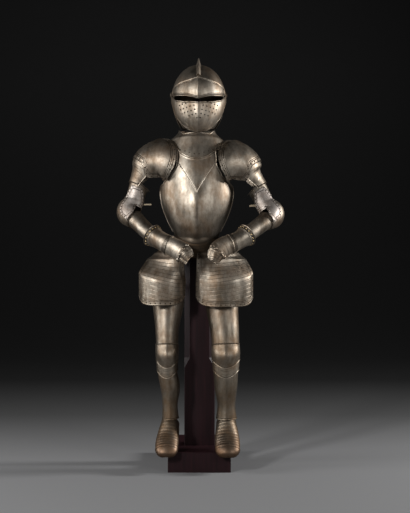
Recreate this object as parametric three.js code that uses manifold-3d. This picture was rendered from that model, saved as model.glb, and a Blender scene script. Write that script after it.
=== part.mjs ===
import * as THREE from "three";
import { mergeVertices } from "three/addons/utils/BufferGeometryUtils.js";
import Module from "manifold-3d";

// Suit of plate armour on a wooden stand. Millimetres, +Z up, the suit faces -Y, its right side is at -X.
const wasm = await Module();
wasm.setup();

// Sheet and seam sizes
const SHEET = 1.6;
const HEAVY_SHEET = 2.2;
const SEAM = 0.9;
const LEVEL = SHEET + SEAM;
const CLEAR = 0.4;

// Stand sizes
const BLOCK_WIDE = 261;
const BLOCK_DEEP = 432;
const BLOCK_HIGH = 83;
const POST_WIDE = 131;
const POST_FRONT_Y = -50;
const POST_BACK_Y = 34;
const POST_CHAMFER = 24;
const POST_CHAMFER_START_Z = 420;
const POST_TOP_Z = 1292;
const YOKE_RADIUS = 17;

// Helmet sizes
const HELMET_X = -4;
const HELMET_Y = -12;
const HELMET_Z = 1583;
const HELMET_HALF_WIDE = 115;
const HELMET_FRONT = 132;
const HELMET_BACK = 122;
const HELMET_RISE = 141;
const HELMET_DROP = 185;
const PIVOT_Z = 1595;
const PIVOT_HOLE = 4.6;
const PIN_RADIUS = 4;
const PIN_HEAD_RADIUS = 10;
const VISOR_LIFT = 4.6;
const BREATH_RADIUS = 3;

const radians = (deg) => (deg * Math.PI) / 180;
const mix = (a, b, t) => a + (b - a) * t;
const bump = (x, width) => Math.exp(-((x / width) ** 2));
const clamp01 = (t) => Math.min(1, Math.max(0, t));
const smooth = (t) => clamp01(t) ** 2 * (3 - 2 * clamp01(t));

// Smooth curve through a short table: rows hold the named column "of" and the named column "give"
function read(table, of, give, x) {
  const first = table[0];
  const last = table[table.length - 1];
  if (x <= first[of]) return first[give];
  if (x >= last[of]) return last[give];
  let k = 0;
  while (x > table[k + 1][of]) k += 1;
  const t = (x - table[k][of]) / (table[k + 1][of] - table[k][of]);
  return mix(table[k][give], table[k + 1][give], smooth(t) * 0.5 + t * 0.5);
}

// Spline through rows numbered 0, 1, 2 ... for one named column
function along(rows, key, s) {
  const n = rows.length - 1;
  const k = Math.min(n - 1, Math.max(0, Math.floor(s)));
  const t = s - k;
  const b = rows[k][key];
  const c = rows[k + 1][key];
  const a = k > 0 ? rows[k - 1][key] : 2 * b - c;
  const d = k + 2 <= n ? rows[k + 2][key] : 2 * c - b;
  const bend = (2 * a - 5 * b + 4 * c - d) * t * t + (3 * b - a - 3 * c + d) * t * t * t;
  return 0.5 * (2 * b + (c - a) * t + bend);
}

// A form is the body under the plates: stations along a limb, each with its half width, front and back depth
function makeForm(rows, keep, hand) {
  const centre = (s) => new THREE.Vector3(along(rows, "x", s), along(rows, "y", s), along(rows, "z", s));
  const frame = (s) => {
    const way = centre(s + 0.02).sub(centre(s - 0.02)).normalize();
    let side;
    let front;
    if (keep === "front") {
      front = new THREE.Vector3(0, -1, 0);
      front.addScaledVector(way, -front.dot(way)).normalize();
      side = way.clone().cross(front).multiplyScalar(hand);
    } else {
      side = new THREE.Vector3(1, 0, 0);
      side.addScaledVector(way, -side.dot(way)).normalize();
      front = way.clone().cross(side);
    }
    return { side, front };
  };
  const point = (s, deg, lift) => {
    const { side, front } = frame(s);
    const out = Math.sin(radians(deg));
    const ahead = Math.cos(radians(deg));
    const deep = along(rows, ahead >= 0 ? "front" : "back", s) + lift;
    const wide = along(rows, "side", s) + lift;
    return centre(s).addScaledVector(side, wide * out).addScaledVector(front, deep * ahead);
  };
  const seek = (z) => {
    let low = 0;
    let high = rows.length - 1;
    for (let k = 0; k < 40; k += 1) {
      const mid = (low + high) / 2;
      if (along(rows, "z", mid) > z) low = mid;
      else high = mid;
    }
    return (low + high) / 2;
  };
  return { point, seek, centre, frame };
}

// Closed shell between an outer and an inner grid of points
function shell(rows, cols, around, outer, inner) {
  const positions = [];
  const seen = new Map();
  const index = [];
  const vertex = (p) => {
    const key = `${p.x.toFixed(3)},${p.y.toFixed(3)},${p.z.toFixed(3)}`;
    if (!seen.has(key)) {
      seen.set(key, positions.length / 3);
      positions.push(p.x, p.y, p.z);
    }
    return seen.get(key);
  };
  const wrap = (j) => (around ? j % cols : j);
  const grid = (give) => {
    const made = [];
    for (let i = 0; i <= rows; i += 1) {
      made.push([]);
      for (let j = 0; j <= cols; j += 1) made[i].push(vertex(give(i, wrap(j))));
    }
    return made;
  };
  const out = grid(outer);
  const back = grid(inner);
  const triangle = (a, b, c) => {
    if (a !== b && b !== c && a !== c) index.push(a, b, c);
  };
  const quad = (a, b, c, d) => {
    triangle(a, b, c);
    triangle(a, c, d);
  };
  for (let i = 0; i < rows; i += 1) {
    for (let j = 0; j < cols; j += 1) {
      quad(out[i][j], out[i + 1][j], out[i + 1][j + 1], out[i][j + 1]);
      triangle(back[i][j], back[i + 1][j + 1], back[i + 1][j]);
      triangle(back[i][j], back[i][j + 1], back[i + 1][j + 1]);
    }
  }
  for (let j = 0; j < cols; j += 1) {
    quad(out[0][j], out[0][j + 1], back[0][j + 1], back[0][j]);
    quad(out[rows][j + 1], out[rows][j], back[rows][j], back[rows][j + 1]);
  }
  if (!around) {
    for (let i = 0; i < rows; i += 1) {
      quad(out[i + 1][0], out[i][0], back[i][0], back[i + 1][0]);
      quad(out[i][cols], out[i + 1][cols], back[i + 1][cols], back[i][cols]);
    }
  }
  return outward(positions, index);
}

// Geometry from points and faces, turned so that the faces look outward
function outward(positions, index) {
  let volume = 0;
  const at = (k) => new THREE.Vector3(positions[3 * k], positions[3 * k + 1], positions[3 * k + 2]);
  for (let k = 0; k < index.length; k += 3) {
    volume += at(index[k]).dot(at(index[k + 1]).cross(at(index[k + 2])));
  }
  const faces = [];
  for (let k = 0; k < index.length; k += 3) {
    if (volume > 0) faces.push(index[k], index[k + 1], index[k + 2]);
    else faces.push(index[k], index[k + 2], index[k + 1]);
  }
  const geometry = new THREE.BufferGeometry();
  geometry.setAttribute("position", new THREE.Float32BufferAttribute(positions, 3));
  geometry.setIndex(faces);
  return geometry;
}

// A plate is a window of a form: from and to along it, start and end around it, lifted by its level
function plate(form, size) {
  const sheet = size.sheet ?? SHEET;
  const place = (i, j, depth) => {
    const v = i / size.rows;
    const u = j / size.cols;
    const deg = mix(size.start(v), size.end(v), u);
    const s = mix(size.from(deg), size.to(deg), v);
    return form.point(s, deg, size.lift(v, deg, s) - depth);
  };
  const outer = (i, j) => place(i, j, 0);
  const inner = (i, j) => place(i, j, sheet);
  return shell(size.rows, size.cols, size.around ?? false, outer, inner);
}

function toManifold(geometry) {
  const clean = geometry.clone();
  clean.deleteAttribute("normal");
  clean.deleteAttribute("uv");
  const merged = mergeVertices(clean, 1e-3);
  const vertProperties = new Float32Array(merged.attributes.position.array);
  const triVerts = new Uint32Array(merged.index.array);
  return new wasm.Manifold(new wasm.Mesh({ numProp: 3, vertProperties, triVerts }));
}

function fromManifold(solid) {
  const mesh = solid.getMesh();
  const geometry = new THREE.BufferGeometry();
  const positions = [];
  for (let k = 0; k < mesh.vertProperties.length; k += mesh.numProp) {
    positions.push(mesh.vertProperties[k], mesh.vertProperties[k + 1], mesh.vertProperties[k + 2]);
  }
  geometry.setAttribute("position", new THREE.Float32BufferAttribute(positions, 3));
  geometry.setIndex(Array.from(mesh.triVerts));
  return geometry;
}

// Round bar between two points
function bar(from, to, radius, sides) {
  const way = to.clone().sub(from);
  const geometry = new THREE.CylinderGeometry(radius, radius, way.length(), sides);
  const turn = new THREE.Quaternion().setFromUnitVectors(new THREE.Vector3(0, 1, 0), way.clone().normalize());
  geometry.applyQuaternion(turn);
  const mid = from.clone().add(to).multiplyScalar(0.5);
  geometry.translate(mid.x, mid.y, mid.z);
  return geometry;
}

function ball(centre, radius) {
  const geometry = new THREE.SphereGeometry(radius, 8, 5);
  geometry.translate(centre.x, centre.y, centre.z);
  return geometry;
}

// Shortest way from a point to the faces of a plate
function reach(point, geometry) {
  const position = geometry.attributes.position;
  const index = geometry.index;
  const face = new THREE.Triangle();
  const near = new THREE.Vector3();
  let best = Infinity;
  for (let k = 0; k < index.count; k += 3) {
    face.a.fromBufferAttribute(position, index.getX(k));
    face.b.fromBufferAttribute(position, index.getX(k + 1));
    face.c.fromBufferAttribute(position, index.getX(k + 2));
    face.closestPointToPoint(point, near);
    best = Math.min(best, near.distanceTo(point));
  }
  return best;
}

const suit = new THREE.Group();
suit.name = "armour_suit";

const colours = { steel: 0x8f887c, brass: 0x9a8452, wood: 0x4a2a24 };
function add(name, geometry, kind) {
  const rough = kind === "wood" ? 0.6 : 0.4;
  const material = new THREE.MeshStandardMaterial({ color: colours[kind], roughness: rough });
  material.metalness = kind === "wood" ? 0 : 0.9;
  const mesh = new THREE.Mesh(geometry, material);
  mesh.name = name;
  suit.add(mesh);
  return geometry;
}

const flat = (value) => () => value;

// Torso form, from the collar down to the hips
const TORSO_X = -12;
const torso = makeForm(
  [
    { z: 1446, y: -18, side: 78, front: 72, back: 66 },
    { z: 1428, y: -18, side: 84, front: 75, back: 69 },
    { z: 1408, y: -18, side: 104, front: 80, back: 76 },
    { z: 1390, y: -20, side: 122, front: 84, back: 82 },
    { z: 1362, y: -22, side: 138, front: 91, back: 90 },
    { z: 1320, y: -24, side: 152, front: 104, back: 98 },
    { z: 1268, y: -25, side: 159, front: 117, back: 103 },
    { z: 1210, y: -26, side: 159, front: 126, back: 106 },
    { z: 1151, y: -27, side: 158, front: 131, back: 105 },
    { z: 1096, y: -27, side: 145, front: 132, back: 100 },
    { z: 1041, y: -27, side: 123, front: 127, back: 92 },
    { z: 1003, y: -26, side: 104, front: 118, back: 84 },
    { z: 975, y: -25, side: 100, front: 112, back: 80 },
    { z: 950, y: -25, side: 122, front: 116, back: 90 },
    { z: 918, y: -25, side: 172, front: 132, back: 108 },
    { z: 884, y: -25, side: 202, front: 150, back: 124 },
  ].map((row) => ({ x: TORSO_X, ...row })),
  "front",
  -1,
);
const torsoAt = (table) => (deg) => torso.seek(read(table, "deg", "z", Math.abs(((deg + 180) % 360) - 180)));

// Gorget: collar standing round the neck, spreading over the shoulders
const collarTop = torsoAt([
  { deg: 0, z: 1427 },
  { deg: 40, z: 1422 },
  { deg: 55, z: 1429 },
  { deg: 68, z: 1436 },
  { deg: 90, z: 1441 },
  { deg: 180, z: 1443 },
]);
const gorgetLow = torsoAt([
  { deg: 0, z: 1292 },
  { deg: 30, z: 1316 },
  { deg: 60, z: 1368 },
  { deg: 90, z: 1384 },
  { deg: 120, z: 1372 },
  { deg: 180, z: 1330 },
]);
const HALF_SEAM_DEG = 0.12;
const gorget = (start, end) =>
  plate(torso, {
    rows: 7,
    cols: 10,
    start: flat(start),
    end: flat(end),
    from: collarTop,
    to: gorgetLow,
    lift: flat(-LEVEL),
  });
const gorgetFront = add("gorget_front", gorget(-90 + HALF_SEAM_DEG, 90 - HALF_SEAM_DEG), "steel");
const gorgetBack = add("gorget_back", gorget(90 + HALF_SEAM_DEG, 270 - HALF_SEAM_DEG), "steel");

// Breastplate: narrow between the armholes, full round below them
const armhole = [
  { z: 1160, deg: 90 },
  { z: 1192, deg: 62 },
  { z: 1225, deg: 43 },
  { z: 1268, deg: 33 },
  { z: 1400, deg: 33 },
];
const breastTop = (deg) => 1308 + 38 * Math.min(1, Math.abs(deg) / 33) ** 2;
const breastLow = (deg) => 948 + 55 * Math.sin(radians(deg)) ** 2;
const keel = (deg, s) => 7 * bump(deg, 9) * smooth((s - 7.3) / 1.4) * smooth((12.6 - s) / 1.5);
const BREAST_ROWS = 10;
function breastplate() {
  const place = (i, j, depth) => {
    const v = i / BREAST_ROWS;
    const u = (j / 12) * 2 - 1;
    const level = mix(1326, 980, v);
    const half = read(armhole, "z", "deg", level) - HALF_SEAM_DEG;
    const deg = u * half;
    const z = mix(breastTop(deg), breastLow(deg), v);
    const s = torso.seek(z);
    return torso.point(s, deg, keel(deg, s) - depth);
  };
  const outer = (i, j) => place(i, j, 0);
  const inner = (i, j) => place(i, j, HEAVY_SHEET - 0.4);
  return shell(BREAST_ROWS, 12, false, outer, inner);
}
add("breastplate", breastplate(), "steel");

// Backplate: shoulder blades between the armholes, seamed to the breastplate at the sides
const backTop = (deg) => 1352 + 22 * bump(Math.abs(deg - 180) - 28, 14);
const backLow = (deg) => 966 + 37 * Math.sin(radians(deg)) ** 2;
function backplate() {
  const place = (i, j, depth) => {
    const v = i / BREAST_ROWS;
    const u = (j / 10) * 2 - 1;
    const level = mix(1350, 980, v);
    const half = Math.min(90, read(armhole, "z", "deg", level) + 9 * smooth((level - 1170) / 60)) - HALF_SEAM_DEG;
    const deg = 180 + u * half;
    const s = torso.seek(mix(backTop(deg), backLow(deg), v));
    return torso.point(s, deg, 0.8 - depth);
  };
  const outer = (i, j) => place(i, j, 0);
  const inner = (i, j) => place(i, j, HEAVY_SHEET - 0.4);
  return shell(BREAST_ROWS, 10, false, outer, inner);
}
add("backplate", backplate(), "steel");

// Fauld: skirt of hoops under the waist, in a front and a back half
const fauldTop = torsoAt([
  { deg: 0, z: 978 },
  { deg: 90, z: 1030 },
  { deg: 180, z: 990 },
]);
const fauld = (start, end) =>
  plate(torso, {
    rows: 5,
    cols: 10,
    sheet: HEAVY_SHEET,
    start: flat(start),
    end: flat(end),
    from: fauldTop,
    to: torsoAt([{ deg: 0, z: 889 }, { deg: 180, z: 889 }]),
    lift: flat(-HEAVY_SHEET - SEAM - 0.4),
  });
add("fauld_front", fauld(-90 + HALF_SEAM_DEG, 90 - HALF_SEAM_DEG), "steel");
add("fauld_back", fauld(90 + HALF_SEAM_DEG, 270 - HALF_SEAM_DEG), "steel");

// Helmet form: an egg with its crown at the top, measured by the angle down from the crown
function helmetPoint(drop, deg, lift) {
  const down = drop > 90;
  const fall = Math.cos(radians(drop));
  const ring = Math.sin(radians(drop));
  const wide = (HELMET_HALF_WIDE + lift) * (down ? ring ** 1.12 : ring);
  const front = (HELMET_FRONT + lift) * (down ? ring ** 0.5 : ring);
  const back = (HELMET_BACK + lift) * (down ? ring ** 0.9 : ring);
  const out = Math.sin(radians(deg));
  const ahead = Math.cos(radians(deg));
  const x = HELMET_X + wide * out;
  const y = HELMET_Y - (ahead >= 0 ? front : back) * ahead;
  const z = HELMET_Z + ((down ? HELMET_DROP : HELMET_RISE) + lift) * fall;
  return new THREE.Vector3(x, y, z);
}
const dropAt = (z) => {
  const rise = z - HELMET_Z;
  return (Math.acos(rise / (rise > 0 ? HELMET_RISE : HELMET_DROP)) * 180) / Math.PI;
};
function helmetPlate(size) {
  const place = (i, j, depth) => {
    const v = i / size.rows;
    const deg = mix(size.start, size.end, j / size.cols);
    const drop = mix(size.from(deg), size.to(deg), v);
    return helmetPoint(drop, deg, size.lift(v, deg, drop) - depth);
  };
  const outer = (i, j) => place(i, j, 0);
  const inner = (i, j) => place(i, j, size.sheet ?? SHEET);
  return shell(size.rows, size.cols, size.around ?? false, outer, inner);
}
const byDeg = (table) => (deg) => dropAt(read(table, "deg", "z", Math.abs(((deg + 180) % 360) - 180)));

// Skull: crown, sides and nape, with the brow as its lower front edge
const skull = add(
  "helmet_skull",
  helmetPlate({
    rows: 8,
    cols: 24,
    start: 0,
    end: 360,
    around: true,
    sheet: 2,
    from: flat(0),
    to: byDeg([
      { deg: 0, z: 1562 },
      { deg: 30, z: 1575 },
      { deg: 62, z: 1581 },
      { deg: 78, z: 1562 },
      { deg: 100, z: 1452 },
      { deg: 180, z: 1446 },
    ]),
    lift: flat(0),
  }),
  "steel",
);

// Brow plate riveted over the front of the skull
add(
  "helmet_brow",
  helmetPlate({
    rows: 3,
    cols: 14,
    start: -75,
    end: 75,
    from: byDeg([
      { deg: 0, z: 1652 },
      { deg: 35, z: 1638 },
      { deg: 75, z: 1616 },
    ]),
    to: byDeg([
      { deg: 0, z: 1561 },
      { deg: 30, z: 1577 },
      { deg: 75, z: 1586 },
    ]),
    lift: (v, deg) => 2.5 + 3.5 * bump(deg, 7),
  }),
  "steel",
);

// Bevor: chin and cheeks, inside the edges of the skull
add(
  "helmet_bevor",
  helmetPlate({
    rows: 7,
    cols: 14,
    start: -105,
    end: 105,
    from: byDeg([
      { deg: 0, z: 1528 },
      { deg: 60, z: 1536 },
      { deg: 90, z: 1598 },
      { deg: 105, z: 1604 },
    ]),
    to: byDeg([
      { deg: 0, z: 1417 },
      { deg: 40, z: 1426 },
      { deg: 70, z: 1441 },
      { deg: 105, z: 1450 },
    ]),
    lift: flat(-8),
  }),
  "steel",
);

// Comb: a low crest standing along the middle of the skull
function comb() {
  const steps = 14;
  const rows = [];
  for (let i = 0; i <= steps; i += 1) {
    const turn = mix(-56, 84, i / steps);
    const drop = Math.abs(turn);
    const deg = turn < 0 ? 0 : 180;
    const high = 6 + 24 * Math.cos(radians((turn / 90) * 90)) ** 3;
    const foot = helmetPoint(drop, deg, 0.6);
    const tip = helmetPoint(drop, deg, high);
    rows.push({ foot, tip });
  }
  const positions = [];
  const index = [];
  rows.forEach(({ foot, tip }) => {
    positions.push(foot.x - 6, foot.y, foot.z, foot.x + 6, foot.y, foot.z);
    positions.push(tip.x + 2, tip.y, tip.z, tip.x - 2, tip.y, tip.z);
  });
  const quad = (a, b, c, d) => index.push(a, b, c, a, c, d);
  for (let i = 0; i < steps; i += 1) {
    const a = 4 * i;
    for (let k = 0; k < 4; k += 1) quad(a + k, a + ((k + 1) % 4), a + 4 + ((k + 1) % 4), a + 4 + k);
  }
  quad(0, 3, 2, 1);
  const e = 4 * steps;
  quad(e, e + 1, e + 2, e + 3);
  return outward(positions, index);
}
add("helmet_comb", comb(), "steel");

// Visor: the pierced face piece, hung on the two temple pins
const visorTop = [
  { deg: 0, z: 1547 },
  { deg: 30, z: 1551 },
  { deg: 52, z: 1560 },
  { deg: 70, z: 1579 },
  { deg: 82, z: 1606 },
  { deg: 98, z: 1608 },
];
const visorLow = [
  { deg: 0, z: 1430 },
  { deg: 25, z: 1434 },
  { deg: 45, z: 1448 },
  { deg: 62, z: 1478 },
  { deg: 80, z: 1552 },
  { deg: 98, z: 1578 },
];
const visorLift = (v, deg) => VISOR_LIFT + 9 * bump(deg, 16) + 6 * bump(deg, 45) * Math.sin(Math.PI * clamp01(v));
function visor() {
  let solid = toManifold(
    helmetPlate({
      rows: 5,
      cols: 24,
      start: -98,
      end: 98,
      sheet: 1.6,
      from: byDeg(visorTop),
      to: byDeg(visorLow),
      lift: visorLift,
    }),
  );
  const across = new THREE.Vector3(HELMET_HALF_WIDE + 40, 0, 0);
  const pivot = new THREE.Vector3(HELMET_X, HELMET_Y, PIVOT_Z);
  const hole = bar(pivot.clone().sub(across), pivot.clone().add(across), PIVOT_HOLE, 10);
  solid = solid.subtract(toManifold(hole));
  const BREATH_ROWS = [
    { deg: 11, drop: 5, count: 5 },
    { deg: 19, drop: 4, count: 4 },
    { deg: 27, drop: 4, count: 4 },
    { deg: 35, drop: 3, count: 3 },
    { deg: 43, drop: 3, count: 3 },
  ];
  BREATH_ROWS.forEach((row, r) => {
    for (let k = 0; k < row.count; k += 1) {
      [-1, 1].forEach((side) => {
        const drop = 99.5 + 5.6 * k + 1.1 * r;
        const at = helmetPoint(drop, side * (row.deg - 1.8 * k), 12);
        const inward = new THREE.Vector3(HELMET_X, HELMET_Y + 30, at.z).sub(at).normalize();
        const start = at.clone().addScaledVector(inward, -16);
        const end = at.clone().addScaledVector(inward, 30);
        solid = solid.subtract(toManifold(bar(start, end, BREATH_RADIUS, 4)));
      });
    }
  });
  return fromManifold(solid);
}
add("helmet_visor", visor(), "steel");

// Temple pins: a shaft through the visor with a round head outside it
function pin(side) {
  const wall = HELMET_HALF_WIDE;
  const from = new THREE.Vector3(HELMET_X + side * (wall + CLEAR), HELMET_Y, PIVOT_Z);
  const neck = new THREE.Vector3(HELMET_X + side * (wall + VISOR_LIFT + 0.5), HELMET_Y, PIVOT_Z);
  const tip = new THREE.Vector3(HELMET_X + side * (wall + VISOR_LIFT + 4), HELMET_Y, PIVOT_Z);
  const shaft = toManifold(bar(from, tip, PIN_RADIUS, 12));
  const head = toManifold(bar(neck, tip, PIN_HEAD_RADIUS, 16));
  return fromManifold(shaft.add(head));
}
add("helmet_pin_right", pin(-1), "steel");
add("helmet_pin_left", pin(1), "steel");

// Arm forms: neck side of the shoulder, over the shoulder, down to the elbow, wrist and finger ends
const rightArm = makeForm(
  [
    { x: -62, y: -14, z: 1282, side: 112, front: 126, back: 104 },
    { x: -105, y: -14, z: 1286, side: 117, front: 127, back: 106 },
    { x: -150, y: -15, z: 1288, side: 119, front: 122, back: 104 },
    { x: -195, y: -16, z: 1275, side: 108, front: 106, back: 94 },
    { x: -228, y: -18, z: 1236, side: 84, front: 80, back: 76 },
    { x: -259, y: -20, z: 1200, side: 53, front: 53, back: 54 },
    { x: -274, y: -24, z: 1162, side: 45, front: 47, back: 48 },
    { x: -284, y: -30, z: 1126, side: 47, front: 47, back: 47 },
    { x: -296, y: -42, z: 1092, side: 47, front: 46, back: 47 },
    { x: -284, y: -66, z: 1064, side: 45, front: 44, back: 44 },
    { x: -262, y: -90, z: 1041, side: 41, front: 41, back: 41 },
    { x: -234, y: -116, z: 1014, side: 39, front: 39, back: 39 },
    { x: -205, y: -143, z: 989, side: 38, front: 37, back: 37 },
    { x: -172, y: -168, z: 967, side: 38, front: 34, back: 34 },
    { x: -139, y: -190, z: 949, side: 42, front: 31, back: 31 },
    { x: -112, y: -205, z: 935, side: 45, front: 29, back: 27 },
    { x: -85, y: -218, z: 920, side: 46, front: 28, back: 26 },
    { x: -60, y: -230, z: 904, side: 43, front: 25, back: 24 },
    { x: -44, y: -240, z: 886, side: 34, front: 17, back: 18 },
  ],
  "front",
  1,
);
const leftArm = makeForm(
  [
    { x: 44, y: -14, z: 1276, side: 112, front: 126, back: 104 },
    { x: 87, y: -14, z: 1281, side: 117, front: 127, back: 106 },
    { x: 130, y: -15, z: 1282, side: 119, front: 122, back: 104 },
    { x: 172, y: -16, z: 1266, side: 108, front: 106, back: 94 },
    { x: 206, y: -18, z: 1224, side: 84, front: 80, back: 76 },
    { x: 247, y: -20, z: 1190, side: 53, front: 53, back: 54 },
    { x: 269, y: -24, z: 1152, side: 46, front: 47, back: 48 },
    { x: 284, y: -30, z: 1115, side: 47, front: 47, back: 47 },
    { x: 304, y: -42, z: 1082, side: 47, front: 46, back: 47 },
    { x: 294, y: -66, z: 1057, side: 45, front: 44, back: 44 },
    { x: 270, y: -90, z: 1038, side: 41, front: 41, back: 41 },
    { x: 238, y: -116, z: 1014, side: 39, front: 39, back: 39 },
    { x: 206, y: -142, z: 990, side: 38, front: 37, back: 37 },
    { x: 174, y: -166, z: 969, side: 38, front: 34, back: 34 },
    { x: 142, y: -188, z: 952, side: 42, front: 31, back: 31 },
    { x: 116, y: -201, z: 942, side: 45, front: 29, back: 27 },
    { x: 90, y: -213, z: 927, side: 46, front: 28, back: 26 },
    { x: 69, y: -224, z: 905, side: 42, front: 25, back: 24 },
    { x: 58, y: -232, z: 878, side: 32, front: 17, back: 18 },
  ],
  "front",
  -1,
);

const TURN = 18;
const shoulderEdge = [
  { deg: -36, start: 1.95, end: 2.95 },
  { deg: -31, start: 1.65, end: 3.4 },
  { deg: -20, start: 1.4, end: 3.75 },
  { deg: -6, start: 1.1, end: 4.05 },
  { deg: 6, start: 0.95, end: 4.0 },
  { deg: 18, start: 0.9, end: 3.6 },
  { deg: 30, start: 0.95, end: 3.42 },
  { deg: 50, start: 1.35, end: 3.42 },
  { deg: 72, start: 2.0, end: 3.42 },
  { deg: 90, start: 2.4, end: 3.42 },
  { deg: 120, start: 2.2, end: 3.42 },
  { deg: 150, start: 1.8, end: 3.4 },
  { deg: 180, start: 1.7, end: 3.3 },
  { deg: 198, start: 1.95, end: 2.9 },
];
const edge = (give) => (deg) => read(shoulderEdge, "deg", give, deg);

function arm(name, form) {
  const steel = (part, geometry) => add(`${name}_${part}`, geometry, "steel");
  // Pauldron with its front wing, the lames toward the neck and the lames down the arm
  steel(
    "pauldron",
    plate(form, {
      rows: 5,
      cols: 13,
      start: flat(-2 * TURN),
      end: flat(11 * TURN),
      from: edge("start"),
      to: edge("end"),
      lift: (v, deg, s) => 1.2 * smooth((s - 3.3) / 0.5),
    }),
  );
  steel(
    "pauldron_upper_lames",
    plate(form, {
      rows: 2,
      cols: 6,
      start: flat(2 * TURN),
      end: flat(8 * TURN),
      from: (deg) => edge("start")(deg) - 0.28 - 0.24 * bump(deg - 100, 26),
      to: (deg) => edge("start")(deg) + 0.2,
      lift: flat(-LEVEL - 1.2),
    }),
  );
  steel(
    "pauldron_lower_lames",
    plate(form, {
      rows: 4,
      cols: 10,
      start: flat(0),
      end: flat(10 * TURN),
      from: flat(3.2),
      to: flat(5.15),
      lift: (v) => -LEVEL - 2.15 * (1 - v) ** 3,
    }),
  );
  steel(
    "rerebrace",
    plate(form, {
      rows: 3,
      cols: 20,
      around: true,
      start: flat(0),
      end: flat(360),
      from: flat(4.8),
      to: flat(7.1),
      lift: (v) => -2 * LEVEL + 0.25 - 3.4 * (1 - v) ** 3,
    }),
  );
  // Couter: the elbow cop, open in the crook
  const tip = (v, deg) => 15 * Math.sin(Math.PI * v) ** 2 * Math.max(0, Math.cos(radians(deg - 118))) ** 2;
  const copLift = (v, deg) => 4 * Math.sin(Math.PI * v) + tip(v, deg);
  const COP_FROM = 6.75;
  const COP_TO = 9.6;
  steel(
    "couter",
    plate(form, {
      rows: 6,
      cols: 14,
      start: flat(-TURN),
      end: flat(13 * TURN),
      from: flat(COP_FROM),
      to: flat(COP_TO),
      lift: (v, deg) => copLift(v, deg) - LEVEL + 0.6,
    }),
  );
  // Wing of the couter: two lobes over the front of the elbow
  const lobe = (v) => Math.sqrt(Math.sin(Math.PI * mix(0.06, 0.94, v)));
  steel(
    "couter_wing",
    plate(form, {
      rows: 8,
      cols: 7,
      start: (v) => 6 - 62 * lobe(v) + 9 * bump(v - 0.5, 0.1),
      end: (v) => 14 + 40 * lobe(v),
      from: flat(5.3),
      to: flat(9.5),
      lift: (v, deg, s) => copLift(clamp01((s - COP_FROM) / (COP_TO - COP_FROM)), deg) + 1.8 + 4 * bump(deg + 50, 30),
    }),
  );
  steel(
    "vambrace",
    plate(form, {
      rows: 3,
      cols: 20,
      around: true,
      start: flat(0),
      end: flat(360),
      from: flat(9.3),
      to: flat(13.8),
      lift: flat(-2 * LEVEL + 0.2),
    }),
  );
  // Gauntlet: bell cuff, back of the hand, fingers and thumb
  steel(
    "gauntlet_cuff",
    plate(form, {
      rows: 3,
      cols: 20,
      around: true,
      start: flat(0),
      end: flat(360),
      from: flat(12.2),
      to: flat(14.5),
      lift: (v) => 12 * (1 - v) ** 3 - LEVEL,
    }),
  );
  steel(
    "gauntlet_hand",
    plate(form, {
      rows: 4,
      cols: 14,
      start: flat(-7 * TURN),
      end: flat(7 * TURN),
      from: flat(14.3),
      to: flat(16.75),
      lift: (v) => -2 * LEVEL + 2 * v * v,
    }),
  );
  const knuckle = (deg) => 3.2 * Math.abs(Math.cos(radians(deg * 2.2)));
  steel(
    "gauntlet_fingers",
    plate(form, {
      rows: 3,
      cols: 16,
      start: flat(-6 * TURN),
      end: flat(6 * TURN),
      from: flat(16.55),
      to: flat(18.3),
      lift: (v, deg) => -2 * LEVEL - 4.3 + knuckle(deg),
    }),
  );
}
arm("right", rightArm);
arm("left", leftArm);

// Leg forms: hip, thigh, knee, calf and ankle
const rightLeg = makeForm(
  [
    { x: -128, y: -60, z: 830, side: 76, front: 70, back: 66 },
    { x: -131, y: -74, z: 760, side: 72, front: 66, back: 62 },
    { x: -134, y: -88, z: 690, side: 68, front: 60, back: 60 },
    { x: -137, y: -110, z: 590, side: 53, front: 53, back: 52 },
    { x: -137, y: -124, z: 525, side: 49, front: 50, back: 48 },
    { x: -136, y: -131, z: 465, side: 48, front: 50, back: 46 },
    { x: -134, y: -132, z: 405, side: 47, front: 46, back: 48 },
    { x: -123, y: -130, z: 340, side: 47, front: 44, back: 54 },
    { x: -124, y: -128, z: 271, side: 38, front: 39, back: 44 },
    { x: -122, y: -126, z: 205, side: 42, front: 44, back: 44 },
  ],
  "side",
  1,
);
const leftLeg = makeForm(
  [
    { x: 96, y: -60, z: 830, side: 78, front: 70, back: 66 },
    { x: 95, y: -74, z: 760, side: 76, front: 66, back: 62 },
    { x: 95, y: -88, z: 690, side: 72, front: 60, back: 60 },
    { x: 106, y: -110, z: 590, side: 64, front: 55, back: 54 },
    { x: 110, y: -124, z: 525, side: 60, front: 53, back: 52 },
    { x: 111, y: -131, z: 465, side: 60, front: 53, back: 48 },
    { x: 111, y: -132, z: 405, side: 57, front: 49, back: 50 },
    { x: 112, y: -130, z: 340, side: 53, front: 47, back: 55 },
    { x: 114, y: -128, z: 271, side: 43, front: 42, back: 46 },
    { x: 114, y: -126, z: 205, side: 50, front: 46, back: 46 },
  ],
  "side",
  1,
);

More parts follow.
